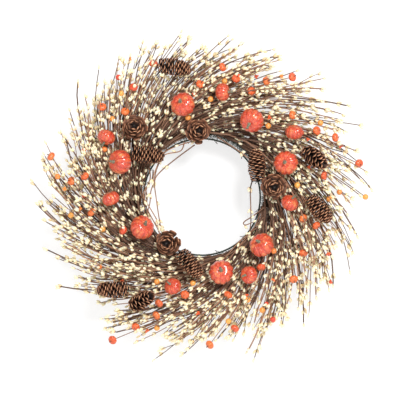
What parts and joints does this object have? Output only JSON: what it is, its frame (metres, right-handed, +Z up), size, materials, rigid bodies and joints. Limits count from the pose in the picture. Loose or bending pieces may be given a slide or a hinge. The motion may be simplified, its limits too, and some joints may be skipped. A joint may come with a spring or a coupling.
{
  "type": "harvest door wreath",
  "caption": "Round door wreath of sweeping pip stems with pumpkins, pinecones and berry picks on a wire frame, with a hanging loop.",
  "frame": {"origin": "where a door hook carries the wreath: under the top of the inner frame ring, in the plane of the two rings", "axes": "+Z up as it hangs, +Y towards the door, so the front faces -Y; +X to the right seen from the front"},
  "size_m": [0.6106, 0.0968, 0.6106],
  "materials": {
    "frame_wire": "dark green lacquered wire, satin",
    "binding_wire": "thin dark brown florist wire, satin",
    "garland": "dark green bristle garland, matte",
    "pip_stems": "brown paper-wrapped stems with cream pips, matte",
    "pumpkin": "mottled orange-red foam with a satin lacquer and a grey stem",
    "pinecone": "natural brown scales, matte, tan at the tips",
    "fruit_picks": "orange mini pumpkins and berries on brown wire, satin"
  },
  "bodies": {
    "wreath": {"inner_rail": "frame_wire", "outer_rail": "frame_wire", "cross_brace_1": "frame_wire", "cross_brace_2": "frame_wire", "cross_brace_3": "frame_wire", "cross_brace_4": "frame_wire", "bristle_base": "garland", "binding_wire": "binding_wire", "pip_spray_01": "pip_stems", "pip_spray_02": "pip_stems", "pip_spray_03": "pip_stems", "pip_spray_04": "pip_stems", "pip_spray_05": "pip_stems", "pip_spray_06": "pip_stems", "pip_spray_07": "pip_stems", "pip_spray_08": "pip_stems", "pip_spray_09": "pip_stems", "pip_spray_10": "pip_stems", "pip_spray_11": "pip_stems", "pip_spray_12": "pip_stems", "pumpkin_01": "pumpkin", "pumpkin_02": "pumpkin", "pumpkin_03": "pumpkin", "pumpkin_04": "pumpkin", "pumpkin_05": "pumpkin", "pumpkin_06": "pumpkin", "pumpkin_07": "pumpkin", "pumpkin_08": "pumpkin", "pumpkin_09": "pumpkin", "pumpkin_10": "pumpkin", "pumpkin_11": "pumpkin", "pumpkin_12": "pumpkin", "pumpkin_13": "pumpkin", "pumpkin_14": "pumpkin", "pinecone_01": "pinecone", "pinecone_02": "pinecone", "pinecone_03": "pinecone", "pinecone_04": "pinecone", "pinecone_05": "pinecone", "pinecone_06": "pinecone", "pinecone_07": "pinecone", "pinecone_08": "pinecone", "pinecone_09": "pinecone", "pinecone_10": "pinecone", "pinecone_11": "pinecone", "pinecone_12": "pinecone", "berry_pick_01": "fruit_picks", "berry_pick_02": "fruit_picks", "berry_pick_03": "fruit_picks", "berry_pick_04": "fruit_picks", "berry_pick_05": "fruit_picks", "berry_pick_06": "fruit_picks", "berry_pick_07": "fruit_picks", "berry_pick_08": "fruit_picks", "berry_pick_09": "fruit_picks", "berry_pick_10": "fruit_picks", "berry_pick_11": "fruit_picks", "berry_pick_12": "fruit_picks"},
    "hanging_loop": {"hanging_loop": "binding_wire"}
  },
  "joints": [
    {"name": "loop_swing", "type": "hinge", "parent": "wreath", "child": "hanging_loop", "pos_m": [0, 0, 0.04366], "axis": [1, 0, 0], "range_deg": [0, 160]}
  ]
}
